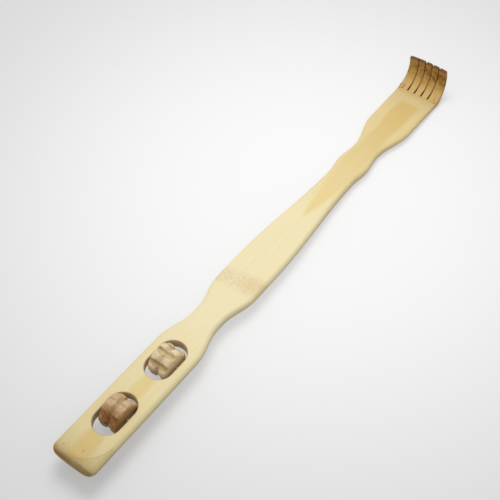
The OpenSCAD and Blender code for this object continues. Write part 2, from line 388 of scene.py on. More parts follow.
def unbent(points):
    """Strip coordinates with the bend and the lean taken out."""
    p = points.copy()
    past = p[:, 0] > X_BEND
    dx, dz = p[past, 0] - X_BEND, BEND_R - p[past, 2]
    share = np.arctan2(dx, dz) / BEND_ANGLE
    p[past, 0] = X_BEND + share * FINGER_L
    p[past, 2] = BEND_R - np.hypot(dx, dz)
    p[past, 1] -= TIP_LEAN * np.maximum(share, 0) ** 2
    return p


def mark_blade(mesh):
    """What the bamboo material reads: place on the strip, share of its depth, distances to its cuts."""
    p = unbent(to_strip(coordinates(mesh)))
    s, y, z = p.T
    tip = X_TIP - TIP_CROWN * (2 * y / TIP_W) ** 2 - s
    rim = np.full(len(p), FAR_OFF)
    for back, front in WINDOWS.values():
        rim = np.minimum(rim, np.hypot(s - np.clip(s, back, front), y) - WINDOW_R)
    kerf = np.full(len(p), FAR_OFF)
    share = np.maximum(0, (s - X_BEND) / FINGER_L)
    ahead = np.maximum(0, X_BEND + KERF_START - s)
    for k in range(1, FINGERS):
        middle = kerf_middle(k) + (KERF_LEAN - TIP_LEAN) * share ** 2
        kerf = np.minimum(kerf, np.hypot(ahead, np.maximum(0, np.abs(y - middle) - KERF_W / 2)))
    thick = np.array([lookup(depths, place) for place in s])
    add_vectors(mesh, "strip", p)
    add_vectors(mesh, "layer", np.stack([-z / thick] * 3, -1))
    add_vectors(mesh, "cuts", np.stack([tip, rim, kerf], -1))


def make_blade():
    blade = new_object("bamboo_blade", skin_mesh("bamboo_blade", blade_rings()))
    for name, (back, front) in WINDOWS.items():
        combine(blade, window_cutter(name + "_window", back, front), "DIFFERENCE")
    for x in (REAR_PIN_X, FRONT_PIN_X):
        combine(blade, pin_rod("pin_cutter", x, PIN_D / 2), "DIFFERENCE")
    for k in range(1, FINGERS):
        combine(blade, kerf_cutter(k), "DIFFERENCE")
    close_up(blade.data)
    mark_blade(blade.data)
    soften(blade, BLADE_CRISP)
    return blade


def make_pin(name, x):
    """A dowel whose end is sanded flush with the strip's rounded edge."""
    pin = pin_rod(name, x, PIN_D / 2 - PIN_SEAM)
    combine(pin, new_object("strip_body", skin_mesh("strip_body", blade_rings())), "INTERSECT")
    close_up(pin.data)
    soften(pin, BLADE_CRISP)
    return pin


# Rollers: two rows of lobes, worn soft, each a closed surface round its bore

def soft_min(a, b, k):
    h = np.clip(0.5 + 0.5 * (b - a) / k, 0, 1)
    return b * (1 - h) + a * h - k * h * (1 - h)


def roller_outline():
    """Radius and place along the axis, from one end's bore edge to the other's."""
    bore = PIN_D / 2 + PIN_CLEAR
    half, hub = ROLLER_L / 2, ROLLER_R - SHOULDER_R
    pts = [(r, half) for r in np.linspace(bore, hub, END_POINTS)]
    for t in np.linspace(0, math.pi / 2, SHOULDER_POINTS)[1:]:
        pts.append((hub + SHOULDER_R * math.sin(t), half - SHOULDER_R + SHOULDER_R * math.cos(t)))
    for y in np.linspace(half - SHOULDER_R, GROOVE_W / 2, LAND_POINTS)[1:]:
        pts.append((ROLLER_R, y))
    for t in np.linspace(0, 1, GROOVE_POINTS)[1:]:
        pts.append((ROLLER_R - GROOVE_D * ease(t), GROOVE_W / 2 * (1 - t)))
    return pts + [(r, -y) for r, y in reversed(pts[:-1])]


def make_roller(name, centre, flute_d, turn):
    """A roller whose lobes are worn to pillows: the flutes widen towards the ends of each row."""
    steps = FLUTES * FLUTE_STEPS
    theta = np.arange(steps) * 2 * math.pi / steps
    pitch = 2 * math.pi / FLUTES
    off = ((theta - turn - math.pi) % pitch - pitch / 2) * ROLLER_R
    row_mid, row_half = (ROLLER_L + GROOVE_W) / 4, (ROLLER_L - GROOVE_W) / 4
    bm = bmesh.new()
    rows, turned, marks = [], [], []
    for r, y in roller_outline():
        from_mid = min(1.0, abs(abs(y) - row_mid) / row_half)
        wide = FLUTE_HALF * (1 + LOBE_ROUND * from_mid ** 2)
        dip = (flute_d + WEAR) * np.cos(np.minimum(1, np.abs(off) / wide) * math.pi / 2) ** 2
        level, radius = np.full(steps, y), np.full(steps, r)
        if r > HUB_R:
            radius = soft_min(radius, ROLLER_R + WEAR - dip, 2 * WEAR)
        points = np.stack([radius * np.sin(theta), level, radius * np.cos(theta)], -1)
        rows.append([bm.verts.new(Vector(p) * MM + centre) for p in points])
        turned.append(np.stack([np.sin(theta), level, np.cos(theta)], -1))
        marks.append(np.stack([off, level, -dip], -1))
    for a, b in zip(rows, rows[1:] + rows[:1]):
        for k in range(steps):
            bm.faces.new((a[k], a[(k + 1) % steps], b[(k + 1) % steps], b[k]))
    mesh = to_mesh(bm, name)
    add_vectors(mesh, "turned", np.concatenate(turned))
    add_vectors(mesh, "flute", np.concatenate(marks))
    obj = new_object(name, mesh)
    soften(obj, ROLLER_CRISP)
    return obj


# Node helpers

def srgb(r, g, b):
    """A colour as it is seen on a screen, from 0 to 255, to the linear one that shaders take."""
    def channel(v):
        v /= 255
        return v / 12.92 if v <= 0.04045 else ((v + 0.055) / 1.055) ** 2.4
    return (channel(r), channel(g), channel(b), 1.0)


# Share of a soft spot's size that is its core
SPOT_CORE = 0.35


class Nodes:
    """Short spellings for the shader nodes used here."""

    def __init__(self, name):
        self.mat = bpy.data.materials.new(name)
        self.mat.use_nodes = True
        self.tree = self.mat.node_tree
        self.shader = self.tree.nodes["Principled BSDF"]

    def feed(self, socket, value):
        if isinstance(value, bpy.types.NodeSocket):
            self.tree.links.new(value, socket)
        else:
            socket.default_value = value

    def attribute(self, name):
        node = self.tree.nodes.new("ShaderNodeAttribute")
        node.attribute_name = name
        return node.outputs["Vector"]

    def position(self):
        return self.tree.nodes.new("ShaderNodeTexCoord").outputs["Object"]

    def split(self, vector):
        node = self.tree.nodes.new("ShaderNodeSeparateXYZ")
        self.feed(node.inputs[0], vector)
        return node.outputs

    def grey(self, value):
        node = self.tree.nodes.new("ShaderNodeCombineXYZ")
        for socket in node.inputs:
            self.feed(socket, value)
        return node.outputs[0]

    def math(self, operation, a, b=0.0, clamp=False):
        node = self.tree.nodes.new("ShaderNodeMath")
        node.operation = operation
        node.use_clamp = clamp
        self.feed(node.inputs[0], a)
        self.feed(node.inputs[1], b)
        return node.outputs[0]

    def times(self, value, *factors):
        for factor in factors:
            value = self.math("MULTIPLY", value, factor)
        return value

    def plus(self, a, b, clamp=False):
        return self.math("ADD", a, b, clamp)

    def less(self, a, b):
        return self.math("SUBTRACT", a, b)

    def about(self, noise, amount):
        """A noise shifted to lie about nought, times an amount."""
        return self.times(self.less(noise, 0.5), amount)

    def from_place(self, x, y, place):
        """Offsets from a place, and the distance to it."""
        dx, dy = self.less(x, place[0]), self.less(y, place[1])
        squares = self.plus(self.times(dx, dx), self.times(dy, dy))
        return dx, dy, self.math("POWER", squares, 0.5)

    def scaled(self, vector, factors):
        node = self.tree.nodes.new("ShaderNodeVectorMath")
        node.operation = "MULTIPLY"
        self.feed(node.inputs[0], vector)
        node.inputs[1].default_value = factors
        return node.outputs[0]

    def step(self, value, low, high, out_low=0.0, out_high=1.0):
        """A smooth change from one value to another, between two edges."""
        node = self.tree.nodes.new("ShaderNodeMapRange")
        node.interpolation_type = "SMOOTHSTEP"
        for socket, v in zip(node.inputs, (value, low, high, out_low, out_high)):
            self.feed(socket, v)
        return node.outputs[0]

    def fall(self, value, low, high):
        return self.step(value, low, high, 1.0, 0.0)

    def band(self, value, start, stop, soft):
        return self.times(
            self.step(value, start - soft, start + soft), self.fall(value, stop - soft, stop + soft))

    def spot(self, s, y, place, size, amount):
        """A soft round spot."""
        far = self.from_place(s, y, place)[2]
        return self.step(far, SPOT_CORE * size, size, amount, 0.0)

    def noise(self, vector, factors, detail=3.0, rough=0.5, distort=0.0):
        node = self.tree.nodes.new("ShaderNodeTexNoise")
        self.feed(node.inputs["Vector"], self.scaled(vector, factors))
        node.inputs["Scale"].default_value = 1.0
        node.inputs["Detail"].default_value = detail
        node.inputs["Roughness"].default_value = rough
        node.inputs["Distortion"].default_value = distort
        return node.outputs["Fac"]

    def cells(self, vector, factors):
        node = self.tree.nodes.new("ShaderNodeTexVoronoi")
        self.feed(node.inputs["Vector"], self.scaled(vector, factors))
        node.inputs["Scale"].default_value = 1.0
        return node.outputs["Distance"]

    def ramp(self, value, stops):
        node = self.tree.nodes.new("ShaderNodeValToRGB")
        self.feed(node.inputs[0], value)
        ends = node.color_ramp.elements
        ends[0].position, ends[0].color = stops[0]
        ends[1].position, ends[1].color = stops[-1]
        for place, colour in stops[1:-1]:
            ends.new(place).color = colour
        return node.outputs[0]

    def curve(self, value, points):
        node = self.tree.nodes.new("ShaderNodeFloatCurve")
        self.feed(node.inputs["Value"], value)
        curve = node.mapping.curves[0]
        while len(curve.points) < len(points):
            curve.points.new(0.5, 0.5)
        for point, place in zip(curve.points, points):
            point.location = place
            point.handle_type = "VECTOR"
        node.mapping.update()
        return node.outputs[0]

    def mix(self, factor, a, b, blend="MIX"):
        node = self.tree.nodes.new("ShaderNodeMix")
        node.data_type = "RGBA"
        node.blend_type = blend
        self.feed(node.inputs[0], factor)
        self.feed(node.inputs[6], a)
        self.feed(node.inputs[7], b)
        return node.outputs[2]

    def paint(self, colour, tone, *factors):
        """Lays a tone over a colour, as far as all the factors allow."""
        return self.mix(self.times(*factors), colour, tone)

    def tint(self, colour, factor):
        """Multiplies a colour by a grey value."""
        return self.mix(1.0, colour, self.grey(factor), "MULTIPLY")

    def bump(self, height, strength, distance):
        node = self.tree.nodes.new("ShaderNodeBump")
        self.feed(node.inputs["Height"], height)
        node.inputs["Strength"].default_value = strength
        node.inputs["Distance"].default_value = distance
        self.feed(self.shader.inputs["Normal"], node.outputs[0])

    def finish(self, colour, roughness, specular):
        self.feed(self.shader.inputs["Base Color"], colour)
        self.feed(self.shader.inputs["Roughness"], roughness)
        self.shader.inputs["Specular IOR Level"].default_value = specular
        return self.mat


# Bamboo: noises by their cycles per millimetre along, across and through the strip, detail and roughness
FIBRE = (0.012, 0.9, 0.9), 5.0, 0.6
STREAK = (0.05, 3.2, 3.2), 3.0, 0.6
CLOUD = (0.05, 0.09, 0.1), 3.0, 0.5
MOTTLE = (0.3, 0.4, 0.4), 4.0, 0.65
BLOT = (0.24, 0.3, 0.3), 3.0, 0.6
RUST = (0.2, 0.26, 0.3), 3.0, 0.6
PORE, DOT, PIT = (0.1, 1.7, 1.7), (0.9, 1.5, 1.5), (0.7, 0.7, 0.4)
# The edges between which most of a noise's values lie
MID = 0.3, 0.7

# Colours along the strip, by share of this length from the butt, of its outer and its warmer inner layer.
# Over the handle their darkening towards the butt is partly the bamboo's own colour and partly painted
# falloff of light
RAMP_L = 480.0
OUTER_TONES = [
    (0.002, srgb(150, 124, 84)), (0.01, srgb(196, 173, 118)), (0.02, srgb(213, 193, 138)),
    (0.05, srgb(225, 207, 153)), (0.15, srgb(233, 217, 165)), (0.3, srgb(241, 227, 181)),
    (0.56, srgb(240, 226, 179)), (0.66, srgb(234, 216, 163)), (0.76, srgb(229, 208, 150)),
    (0.86, srgb(225, 202, 145)), (0.92, srgb(212, 189, 134)), (0.94, srgb(194, 164, 100)),
]
INNER_TONES = [
    (0.004, srgb(166, 139, 86)), (0.015, srgb(208, 182, 113)), (0.04, srgb(216, 190, 121)),
    (0.15, srgb(229, 206, 139)), (0.58, srgb(234, 210, 141)), (0.68, srgb(231, 208, 148)),
    (0.78, srgb(222, 197, 132)), (0.85, srgb(216, 187, 117)), (0.9, srgb(210, 182, 112)),
]
# Half-width of the inner layer along the strip, as a share of this width in millimetres
SANDED_W = 20.0
SANDED_HALF = [
    (0.0, 0.3), (0.02, 0.38), (0.05, 0.34), (0.07, 0.1), (0.09, 0.0), (0.12, 0.08), (0.14, 0.28),
    (0.17, 0.24), (0.19, 0.0), (0.55, 0.0), (0.57, 0.07), (0.6, 0.22), (0.63, 0.34), (0.67, 0.46),
    (0.72, 0.52), (0.76, 0.43), (0.8, 0.42), (0.84, 0.46), (0.92, 0.47),
]
SANDED_SHIFT, SANDED_WANDER, SANDED_SOFT, SANDED_LEAST = 0.8, 5.0, 2.4, 0.1
SANDED_END, END_RAGGED = (433.0, 435.6), 2.0
# Shares of the strip's depth between which the marks of its top face fade
TOP_FACE = 0.3, 0.55

# The node of the culm, across the belly
NODE_BAND, NODE_WAVE, NODE_SLANT = (181.0, 195.0, 4.5), 16.0, 0.12
NODE_TONE, NODE_AMOUNT = srgb(228, 211, 163), 0.35
DOT_TONE, DOT_AMOUNT, DOT_EDGE, DOT_PATCH = srgb(184, 142, 86), 0.62, (0.2, 0.5), (0.32, 0.5)
NODE_SPOT, NODE_SPOT_TONE = ((189.0, -12.0), 14.0, 0.22), srgb(222, 184, 120)

# Fingers: colours by share of this distance from the tips, then the marks on them
TOAST_L = 34.0
TOAST_TONES = [
    (0.0, srgb(180, 130, 78)), (0.06, srgb(194, 146, 86)), (0.12, srgb(182, 142, 68)),
    (0.28, srgb(184, 146, 70)), (0.45, srgb(194, 158, 84)), (0.75, srgb(200, 166, 94)),
    (1.0, srgb(202, 171, 106)),
]
TOAST_START = 445.0, 450.0
SCORCH_TONE, SCORCH_AMOUNT, SCORCH_EDGE = srgb(114, 62, 4), 0.74, (0.4, 0.64)
SCORCH_LEAN = -18.0, 16.0, 0.07, -0.03
SCORCH_BAND, SCORCH_BELOW, SCORCH_TIP = (5.0, 13.0, 3.0), (11.0, 24.0, 0.35, 0.0), (1.0, 4.0, 0.25, 1.0)
SMEAR = 0.12
RUST_TONE, RUST_AMOUNT, RUST_EDGE = srgb(184, 108, 34), 0.5, (0.52, 0.64)
RUST_BELOW, RUST_START = (14.0, 28.0, 1.0, 0.3), (448.0, 454.0)
ROOT_BAND, ROOT_SIDE = (447.5, 455.0, 1.5), (13.0, 15.5)
ROOT_TONE, ROOT_AMOUNT = srgb(196, 140, 60), 0.25
PIT_TONE, PIT_AMOUNT, PIT_EDGE = srgb(112, 70, 24), 0.85, (0.24, 0.5)
KERF_TONE, KERF_EDGE, KERF_FADE = srgb(98, 50, 6), (0.0, 0.7, 0.85, 0.0), (450.0, 464.0, 1.0, 0.6)
TIP_TONE, TIP_EDGE = srgb(98, 68, 28), (0.15, 0.6)
TIP_AMOUNT = 0.92

# Butt: a toasted end with painted shade towards its right corner, a singed line to the right, and a spot at
# the left corner
BUTT_EDGE, BUTT_LOOSE = (0.4, 3.2), 2.4
BUTT_TONE, BUTT_SIDES, BUTT_PAINTED_SHADE = srgb(148, 112, 56), (4.0, 14.0, 0.8, 0.62), (-18.0, 4.0, 0.25, 0.0)
SINGE_TONE, SINGE_AMOUNT, SINGE_BAND, SINGE_SIDE = srgb(92, 62, 20), 0.7, (1.2, 2.6, 0.5), (2.0, -8.0)
BUTT_SPOT, BUTT_SPOT_TONE = ((2.0, 15.5), 4.0, 0.3), srgb(186, 124, 56)
# The line round the sanded-off corner, painted shade on the corner itself, which slopes away, and a few
# specks
CORNER_AHEAD, CORNER_ASIDE = (-4.0, 0.0), (-8.0, -6.0)
ARC_TONE, ARC_AMOUNT, ARC_TOP = srgb(156, 128, 78), 0.4, (-3.0, -2.0)
ARC_BAND = FACET_R - 0.3, FACET_R + 0.4, 0.3
FACET_SHADE_TONE, FACET_SHADE_AMOUNT, FACET_SHADE_EDGE = srgb(186, 166, 110), 0.3, (FACET_R, FACET_R + 1.0)
SPECK_TONE = srgb(128, 96, 54)
SPECKS = ((11.3, -2.2), 0.9, 0.6), ((7.3, 12.0), 1.2, 0.35), ((9.4, 9.6), 0.7, 0.3)

# Window walls, and the strip's sides and underside, which keep more of the skin: their darker tones are
# partly the skin's colour and partly painted shade, most on the lower side
WALL_TONE, WALL_AMOUNT, WALL_EDGE = srgb(204, 174, 138), 0.8, (0.25, 0.85)
BEFORE_HAND, GRIP_END = (440.0, 446.0), (100.0, 140.0)
SIDE_SKIN_AND_SHADE_TONE, SKIN_AMOUNT, SKIN_TOP, SKIN_SHAFT = srgb(204, 184, 134), 0.4, (-5.0, -1.0), 0.25
LOW_SIDE_SKIN_AND_SHADE_TONE, BELOW_GRIP, BELOW_SHAFT = srgb(140, 114, 78), 0.6, 0.4
BELOW_EDGE, BELOW_RIM = (0.4, 0.56), (0.4, 1.4)

# Fibre detail over all of it: shares of the colour, heights and roughness
FIBRE_SHADE, STREAK_SHADE, PORE_SHADE = (0.965, 1.025), (-0.025, 0.02), (0.05, 0.16, 0.06, 0.0)
PORE_EDGE, PORE_DEPTH = (0.03, 0.16), 0.6
BAMBOO_BUMP = 0.25, 0.0002
BAMBOO_ROUGH, BUTT_ROUGH, TIP_ROUGH, KERF_ROUGH = (0.44, 0.56), 0.15, 0.3, (0.1, 0.8, 0.4, 0.0)
BAMBOO_SPECULAR = 0.35


def bamboo_places(n):
    """What the bamboo's marks are set by: places on the strip, distances to its cuts, and noises."""
    strip = n.attribute("strip")
    s, y, z = n.split(strip)
    tip, rim, kerf = n.split(n.attribute("cuts"))
    depth = n.split(n.attribute("layer"))[0]
    return SimpleNamespace(
        strip=strip, s=s, y=y, z=z, tip=tip, rim=rim, kerf=kerf, depth=depth,
        far=n.math("DIVIDE", s, RAMP_L), top_face=n.fall(depth, *TOP_FACE),
        fibre=n.noise(strip, *FIBRE), streak=n.noise(strip, *STREAK), mottle=n.noise(strip, *MOTTLE),
    )


def bamboo_layers(n, at):
    """The outer layer's colour, and the inner one's in the middle, where the strip was sanded deepest."""
    half = n.curve(at.far, SANDED_HALF)
    wander = n.about(n.noise(at.strip, *CLOUD), SANDED_WANDER)
    reach = n.plus(n.times(half, SANDED_W), wander)
    aside = n.math("ABSOLUTE", n.plus(at.y, SANDED_SHIFT))
    sanded = n.step(n.less(reach, aside), -SANDED_SOFT, SANDED_SOFT)
    ragged = n.plus(at.s, n.about(at.streak, END_RAGGED))
    sanded = n.times(sanded, n.step(half, 0.0, SANDED_LEAST), at.top_face, n.fall(ragged, *SANDED_END))
    return n.mix(sanded, n.ramp(at.far, OUTER_TONES), n.ramp(at.far, INNER_TONES))


def bamboo_node(n, at, colour):
    """The node of the culm: a dotted band across the belly."""
    slant = n.plus(n.plus(at.s, n.about(at.mottle, NODE_WAVE)), n.times(at.y, NODE_SLANT))
    band = n.band(slant, *NODE_BAND)
    dots = n.times(n.fall(n.cells(at.strip, DOT), *DOT_EDGE), n.step(at.mottle, *DOT_PATCH))
    colour = n.paint(colour, NODE_TONE, band, NODE_AMOUNT)
    colour = n.paint(colour, DOT_TONE, band, dots, DOT_AMOUNT)
    return n.paint(colour, NODE_SPOT_TONE, n.spot(at.s, at.y, *NODE_SPOT))


def bamboo_fingers(n, at, colour):
    """Toasted fingers: a pinkish band under the tips, scorched below it, more so to the right."""
    toast = n.ramp(n.math("DIVIDE", at.tip, TOAST_L, True), TOAST_TONES)
    colour = n.mix(n.step(at.s, *TOAST_START), colour, toast)
    heat = n.plus(n.noise(at.strip, *BLOT), n.step(at.y, *SCORCH_LEAN))
    heat = n.plus(heat, n.about(at.streak, SMEAR))
    upper = n.plus(n.band(at.tip, *SCORCH_BAND), n.step(at.tip, *SCORCH_BELOW), True)
    scorch = n.times(n.step(heat, *SCORCH_EDGE), upper, n.step(at.tip, *SCORCH_TIP))
    colour = n.paint(colour, SCORCH_TONE, scorch, SCORCH_AMOUNT)
    rust = n.step(n.noise(at.strip, *RUST), *RUST_EDGE)
    rust = n.times(rust, n.step(at.tip, *RUST_BELOW), n.step(at.s, *RUST_START))
    colour = n.paint(colour, RUST_TONE, rust, RUST_AMOUNT)
    # Dark pits at the two ends of the fingers' roots
    aside = n.math("ABSOLUTE", at.y)
    root = n.times(n.band(at.s, *ROOT_BAND), n.step(aside, *ROOT_SIDE), at.top_face)
    pits = n.fall(n.cells(at.strip, PIT), *PIT_EDGE)
    colour = n.paint(colour, ROOT_TONE, root, ROOT_AMOUNT)
    colour = n.paint(colour, PIT_TONE, pits, root, PIT_AMOUNT)
    # Dark kerfs and tips
    colour = n.paint(colour, KERF_TONE, n.step(at.kerf, *KERF_EDGE), n.step(at.s, *KERF_FADE))
    return n.paint(colour, TIP_TONE, n.step(at.tip, *TIP_EDGE, TIP_AMOUNT, 0.0))


def bamboo_butt(n, at, colour):
    """The toasted butt, with painted shade towards its right corner, and the corner sanded off its top
    face.
    """
    worn = n.plus(at.s, n.about(at.mottle, BUTT_LOOSE))
    at.butt = n.fall(worn, *BUTT_EDGE)
    colour = n.paint(colour, BUTT_TONE, at.butt, n.step(at.y, *BUTT_SIDES))
    # Painted shade: the end darkens towards its right corner
    colour = n.tint(colour, n.less(1.0, n.times(at.butt, n.step(at.y, *BUTT_PAINTED_SHADE))))
    singe = n.times(n.band(worn, *SINGE_BAND), n.step(at.y, *SINGE_SIDE))
    colour = n.paint(colour, SINGE_TONE, singe, SINGE_AMOUNT)
    colour = n.paint(colour, BUTT_SPOT_TONE, n.spot(at.s, at.y, *BUTT_SPOT))
    ahead, aside, out = n.from_place(at.s, at.y, FACET_CENTRE)
    in_corner = n.times(n.fall(ahead, *CORNER_AHEAD), n.fall(aside, *CORNER_ASIDE))
    arc = n.times(n.band(out, *ARC_BAND), in_corner, n.step(at.z, *ARC_TOP))
    colour = n.paint(colour, ARC_TONE, arc, ARC_AMOUNT)
    # Painted shade on the sloping sanded-off corner
    colour = n.paint(colour, FACET_SHADE_TONE, n.step(out, *FACET_SHADE_EDGE), in_corner, FACET_SHADE_AMOUNT)
    for speck in SPECKS:
        colour = n.paint(colour, SPECK_TONE, n.spot(at.s, at.y, *speck))
    return colour


def bamboo_sides(n, at, colour):
    """Window walls, and the strip's sides and underside, more so along the handle: the skin's colour, and
    painted shade.
    """
    colour = n.paint(colour, WALL_TONE, n.fall(at.rim, *WALL_EDGE), WALL_AMOUNT)
    before_hand = n.fall(at.s, *BEFORE_HAND)
    # The skin's colour on the sides and underside, darkened further as painted shade
    side_skin_and_shade = n.times(n.fall(at.z, *SKIN_TOP), before_hand, n.step(at.s, *GRIP_END, 1.0, SKIN_SHAFT))
    colour = n.paint(colour, SIDE_SKIN_AND_SHADE_TONE, side_skin_and_shade, SKIN_AMOUNT)
    # Painted shade on the lower part of the sides and the underside, which face the floor, with the skin's
    # darker colour
    low_side_skin_and_shade = n.times(n.step(at.depth, *BELOW_EDGE), before_hand, n.step(at.rim, *BELOW_RIM))
    return n.paint(colour, LOW_SIDE_SKIN_AND_SHADE_TONE, low_side_skin_and_shade, n.step(at.s, *GRIP_END, BELOW_GRIP, BELOW_SHAFT))


def bamboo():
    n = Nodes("bamboo")
    at = bamboo_places(n)
    colour = bamboo_layers(n, at)
    for marks in (bamboo_node, bamboo_fingers, bamboo_butt, bamboo_sides):
        colour = marks(n, at, colour)
    # Long fibres, fine streaks and short pores that run with the strip
    pore = n.cells(at.strip, PORE)
    shade = n.plus(n.step(at.fibre, *MID, *FIBRE_SHADE), n.step(at.streak, *MID, *STREAK_SHADE))
    colour = n.tint(colour, n.less(shade, n.step(pore, *PORE_SHADE)))
    n.bump(n.plus(at.streak, n.times(n.step(pore, *PORE_EDGE), PORE_DEPTH)), *BAMBOO_BUMP)
    rough = n.plus(n.step(at.fibre, *MID, *BAMBOO_ROUGH), n.times(at.butt, BUTT_ROUGH))
    rough = n.plus(rough, n.step(at.tip, *TIP_EDGE, TIP_ROUGH, 0.0))
    rough = n.plus(rough, n.step(at.kerf, *KERF_ROUGH), True)
    return n.finish(colour, rough, BAMBOO_SPECULAR)


# Turned wood: noises by their cycles per radius across a roller and per millimetre along it, detail,
# roughness and distortion
GRAIN = (6.0, 0.25, 6.0), 4.0, 0.65, 0.6
FLECK = (14.0, 0.9, 14.0), 3.0, 0.6
PATCH = (2.2, 0.24, 2.2), 3.0, 0.55
BLUSH = (1.6, 0.16, 1.6), 2.0, 0.5
BLUSH_EDGE = 0.42, 0.62, 0.0, 0.7
BACK_EDGE = 0.05, -0.8
# The line on one wall of each flute is scorch, and painted shade on that wall
CUT_BAND, CUT_PATCH, CUT_SIDE = (1.2, 2.6, 0.8), (0.38, 0.55, 0.15, 1.0), (-2.0, 2.0, 0.45, 1.0)
CHAR_EDGE, CHAR_LOW, BURN_GRAIN = (0.36, 0.68), 0.1, (0.4, 0.6)
# Painted shade in the groove between the two rows
GROOVE_PAINTED_SHADE = 0.2, 2.2, 0.8, 1.0
# The ends' tone is painted light on the front roller and painted shade on the rear one
END_EDGE, END_LIGHT_AND_SHADE_AMOUNT = (ROLLER_L / 2 - 1.8, ROLLER_L / 2 - 0.1), 0.85
FLECK_SHADE, FLECK_HEIGHT, FLECK_ROUGH = (0.96, 1.03), 0.5, 0.12
WOOD_BUMP, WOOD_SPECULAR = (0.15, 0.0002), 0.4

REAR_TONES = {
    "land": srgb(212, 186, 146), "mid": srgb(192, 158, 112), "blush": srgb(200, 168, 132),
    "back": srgb(186, 136, 66), "floor": srgb(184, 144, 90), "scorch_and_shade": srgb(98, 52, 2),
    "rust": srgb(144, 84, 16), "ends": srgb(160, 114, 60),
}
REAR_LOOK = {"depth": 1.2, "back": 0.85, "floor": 0.3, "wall": 0.15, "char": 0.95, "gloss": 0.3}
# On the front roller the back tone is pale: painted light on its side towards the butt
FRONT_TONES = {
    "land": srgb(234, 222, 184), "mid": srgb(220, 204, 160), "blush": srgb(228, 202, 162),
    "back": srgb(242, 220, 180), "floor": srgb(198, 172, 116), "scorch_and_shade": srgb(118, 74, 28),
    "rust": srgb(190, 134, 66), "ends": srgb(226, 200, 150),
}
FRONT_LOOK = {"depth": 2.2, "back": 0.7, "floor": 0.75, "wall": 0.9, "char": 0.15, "gloss": 0.36}


def roller_wood(name, tones, look):
    """Turned wood: pale lands, darker flutes, scorch that spreads from the flutes on the butt side, and
    painted light and shade.
    """
    n = Nodes(name)
    turned = n.attribute("turned")
    off, axis, drop = n.split(n.attribute("flute"))
    from_groove = n.math("ABSOLUTE", axis)
    grain, fleck = n.noise(turned, *GRAIN), n.noise(turned, *FLECK)
    patch, blush = n.noise(turned, *PATCH), n.noise(turned, *BLUSH)
    back = n.step(n.split(turned)[0], *BACK_EDGE)
    low = n.fall(drop, -look["depth"], 0.0)
    colour = n.mix(n.step(grain, *MID), tones["land"], tones["mid"])
    colour = n.paint(colour, tones["blush"], n.step(blush, *BLUSH_EDGE))
    # The back tone on the side towards the butt: scorch on the rear roller, painted light on the front one
    colour = n.paint(colour, tones["back"], back, look["back"])
    colour = n.paint(colour, tones["floor"], low, look["floor"])
    # Scorch and painted shade on one wall of each flute, mostly in the left row, and scorch alone in
    # patches towards the butt
    wall = n.times(n.band(off, *CUT_BAND), n.step(patch, *CUT_PATCH), n.step(axis, *CUT_SIDE), look["wall"])
    heat = n.plus(patch, n.times(low, CHAR_LOW))
    char = n.times(n.step(heat, *CHAR_EDGE), back, look["char"])
    scorch_and_shade = n.mix(n.step(grain, *BURN_GRAIN), tones["scorch_and_shade"], tones["rust"])
    colour = n.mix(n.plus(wall, char, True), colour, scorch_and_shade)
    # Painted shade darkens the groove between the rows
    colour = n.tint(colour, n.step(from_groove, *GROOVE_PAINTED_SHADE))
    # Painted light on the front roller's ends, painted shade on the rear one's
    colour = n.paint(colour, tones["ends"], n.step(from_groove, *END_EDGE), END_LIGHT_AND_SHADE_AMOUNT)
    colour = n.tint(colour, n.step(fleck, *MID, *FLECK_SHADE))
    n.bump(n.plus(grain, n.times(fleck, FLECK_HEIGHT)), *WOOD_BUMP)
    rough = n.step(fleck, *MID, look["gloss"], look["gloss"] + FLECK_ROUGH)
    return n.finish(colour, rough, WOOD_SPECULAR)


# Dowels: noises by their cycles per metre
DOWEL_FIBRE, DOWEL_STAIN = ((2600.0, 60.0, 2600.0), 4.0, 0.6), ((300.0, 120.0, 300.0), 3.0)
DOWEL_EDGE, DOWEL_DARK, DOWEL_PALE = (0.35, 0.65), srgb(206, 182, 130), srgb(226, 206, 156)
DOWEL_SHADE, DOWEL_ROUGH, DOWEL_BUMP, DOWEL_SPECULAR = (0.9, 1.03), (0.5, 0.65), (0.2, 0.0001), 0.5


def dowel():
    n = Nodes("bamboo_dowel")
    where = n.position()
    fibre, stain = n.noise(where, *DOWEL_FIBRE), n.noise(where, *DOWEL_STAIN)
    colour = n.mix(n.step(fibre, *DOWEL_EDGE), DOWEL_DARK, DOWEL_PALE)
    colour = n.tint(colour, n.step(stain, *MID, *DOWEL_SHADE))
    n.bump(fibre, *DOWEL_BUMP)
    return n.finish(colour, n.step(stain, *MID, *DOWEL_ROUGH), DOWEL_SPECULAR)


# Floor, between two distances in metres from a place near the object: the grey that lights the object, the
# grey that is seen directly, and the light added to what is seen. Far away, haze adds more of that light.
# Together they paint a pool of light round the object, which dims outwards until the haze
GLOW_CENTRE, GLOW = (0.05, 0.0), (0.05, 0.42)
PAPER, SEEN, LIFT = (0.55, 0.42), (0.4, 0.54), (0.55, 0.18)
HAZE, HAZE_LIFT = (0.42, 0.9), 0.34
PAPER_CLOUD, CLOUD_SHADE = ((2.0, 2.0, 2.0), 2.0), (0.2, 0.8, 0.99, 1.01)
PAPER_ROUGH, PAPER_SPECULAR = (0.0, 1.0, 0.8, 0.85), 0.1
WHITE = 1.0, 1.0, 1.0, 1.0
FLOOR_SIZE, FLOOR_CELLS, FLOOR_Z = 8.0, 8, -0.0001


def seen_directly(tree):
    """One for rays from the camera and for those that a glossy or clear surface passes on, else nought."""
    rays = tree.nodes.new("ShaderNodeLightPath").outputs
    total = rays["Is Camera Ray"]
    for kind in ("Is Glossy Ray", "Is Transmission Ray"):
        node = tree.nodes.new("ShaderNodeMath")
        node.operation = "MAXIMUM"
        tree.links.new(total, node.inputs[0])
        tree.links.new(rays[kind], node.inputs[1])
        total = node.outputs[0]
    return total


